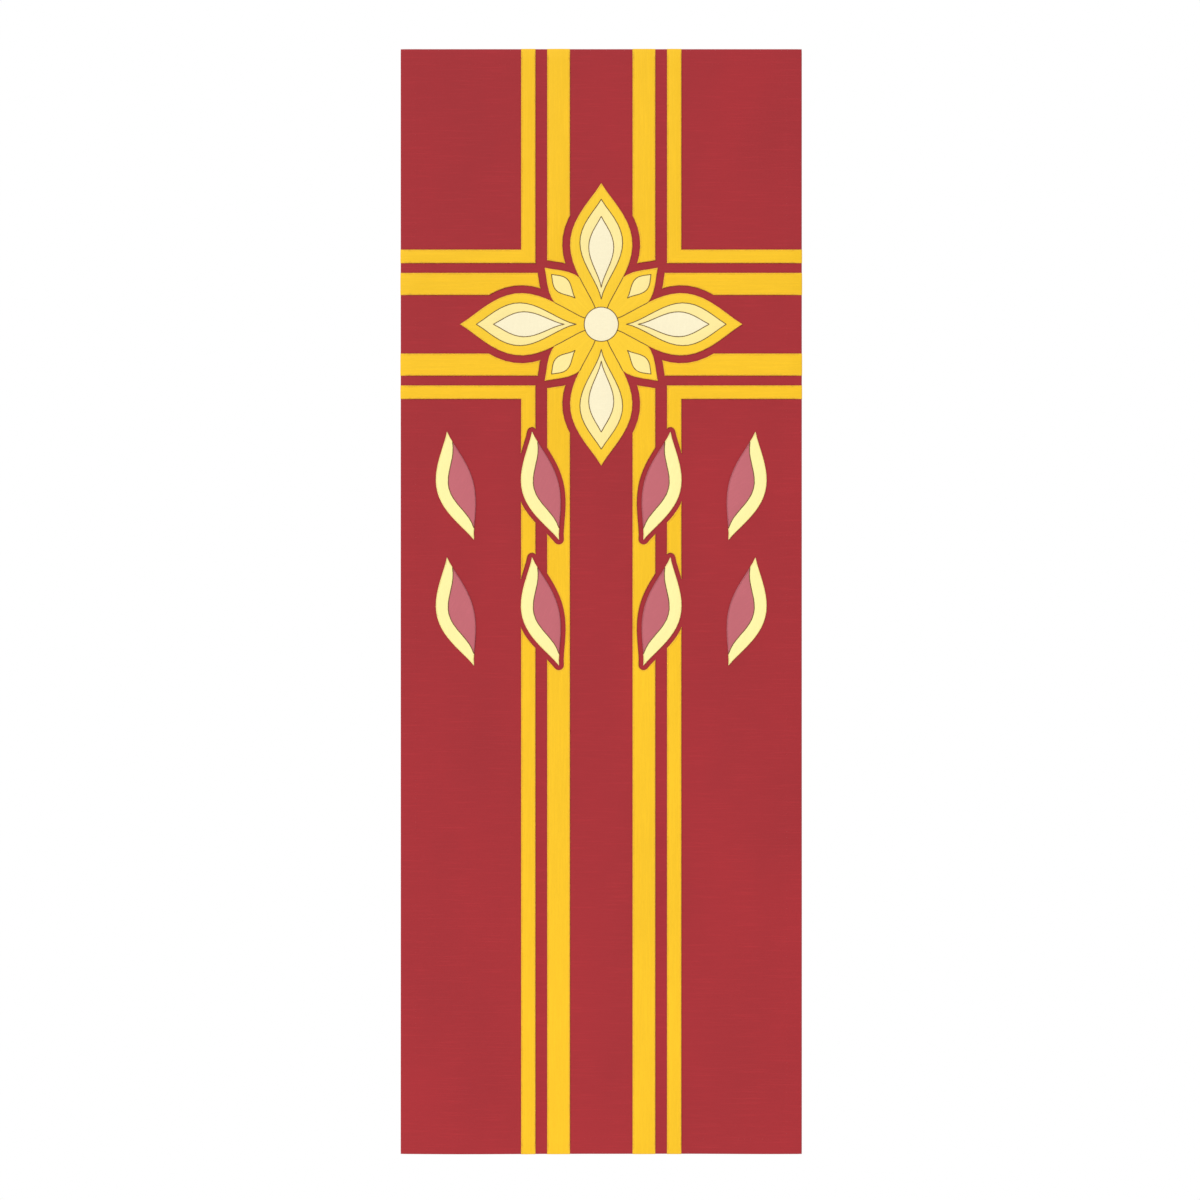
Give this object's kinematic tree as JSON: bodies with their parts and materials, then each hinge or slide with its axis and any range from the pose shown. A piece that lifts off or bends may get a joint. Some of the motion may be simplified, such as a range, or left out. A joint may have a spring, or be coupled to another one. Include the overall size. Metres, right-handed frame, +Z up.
{
  "type": "banner",
  "caption": "Tall flat hanging of crimson cloth with sewn-on gold bands that form a cross, a petal rosette at the crossing and two-tone leaves below.",
  "frame": {"origin": "middle of the banner's top edge, in the middle plane of the ground cloth", "axes": "+Z up along the banner's length, +X to the right as seen from the front, +Y out of the back; the decorated front faces -Y"},
  "size_m": [0.61, 0.0037, 1.68],
  "materials": {
    "crimson_cloth": "woven cloth, matt, fine plain weave",
    "band_gold": "woven cloth with a soft satin sheen",
    "petal_gold": "woven cloth with a soft satin sheen",
    "pale_gold": "woven cloth with a faint sheen",
    "cream": "woven cloth with a faint sheen",
    "straw": "woven cloth with a faint sheen",
    "rose": "woven cloth, matt"
  },
  "bodies": {
    "root": {"ground_cloth": "crimson_cloth", "leaf_lower_inner_left_blade": "rose", "leaf_lower_inner_left_crescent": "straw", "leaf_lower_inner_right_blade": "rose", "leaf_lower_inner_right_crescent": "straw", "leaf_lower_outer_left_blade": "rose", "leaf_lower_outer_left_crescent": "straw", "leaf_lower_outer_right_blade": "rose", "leaf_lower_outer_right_crescent": "straw", "leaf_upper_inner_left_blade": "rose", "leaf_upper_inner_left_crescent": "straw", "leaf_upper_inner_right_blade": "rose", "leaf_upper_inner_right_crescent": "straw", "leaf_upper_outer_left_blade": "rose", "leaf_upper_outer_left_crescent": "straw", "leaf_upper_outer_right_blade": "rose", "leaf_upper_outer_right_crescent": "straw", "long_petal_bottom_border": "petal_gold", "long_petal_bottom_heart": "cream", "long_petal_bottom_middle": "pale_gold", "long_petal_left_border": "petal_gold", "long_petal_left_heart": "cream", "long_petal_left_middle": "pale_gold", "long_petal_right_border": "petal_gold", "long_petal_right_heart": "cream", "long_petal_right_middle": "pale_gold", "long_petal_top_border": "petal_gold", "long_petal_top_heart": "cream", "long_petal_top_middle": "pale_gold", "narrow_band_lower_left_1": "band_gold", "narrow_band_lower_left_2": "band_gold", "narrow_band_lower_left_3": "band_gold", "narrow_band_lower_right_1": "band_gold", "narrow_band_lower_right_2": "band_gold", "narrow_band_lower_right_3": "band_gold", "narrow_band_upper_left": "band_gold", "narrow_band_upper_right": "band_gold", "rosette_centre": "cream", "short_petal_lower_left_border": "petal_gold", "short_petal_lower_left_middle": "pale_gold", "short_petal_lower_right_border": "petal_gold", "short_petal_lower_right_middle": "pale_gold", "short_petal_upper_left_border": "petal_gold", "short_petal_upper_left_middle": "pale_gold", "short_petal_upper_right_border": "petal_gold", "short_petal_upper_right_middle": "pale_gold", "wide_band_lower_left_1": "band_gold", "wide_band_lower_left_2": "band_gold", "wide_band_lower_right_1": "band_gold", "wide_band_lower_right_2": "band_gold", "wide_band_upper_left_1": "band_gold", "wide_band_upper_left_2": "band_gold", "wide_band_upper_right_1": "band_gold", "wide_band_upper_right_2": "band_gold"}
  },
  "joints": []
}
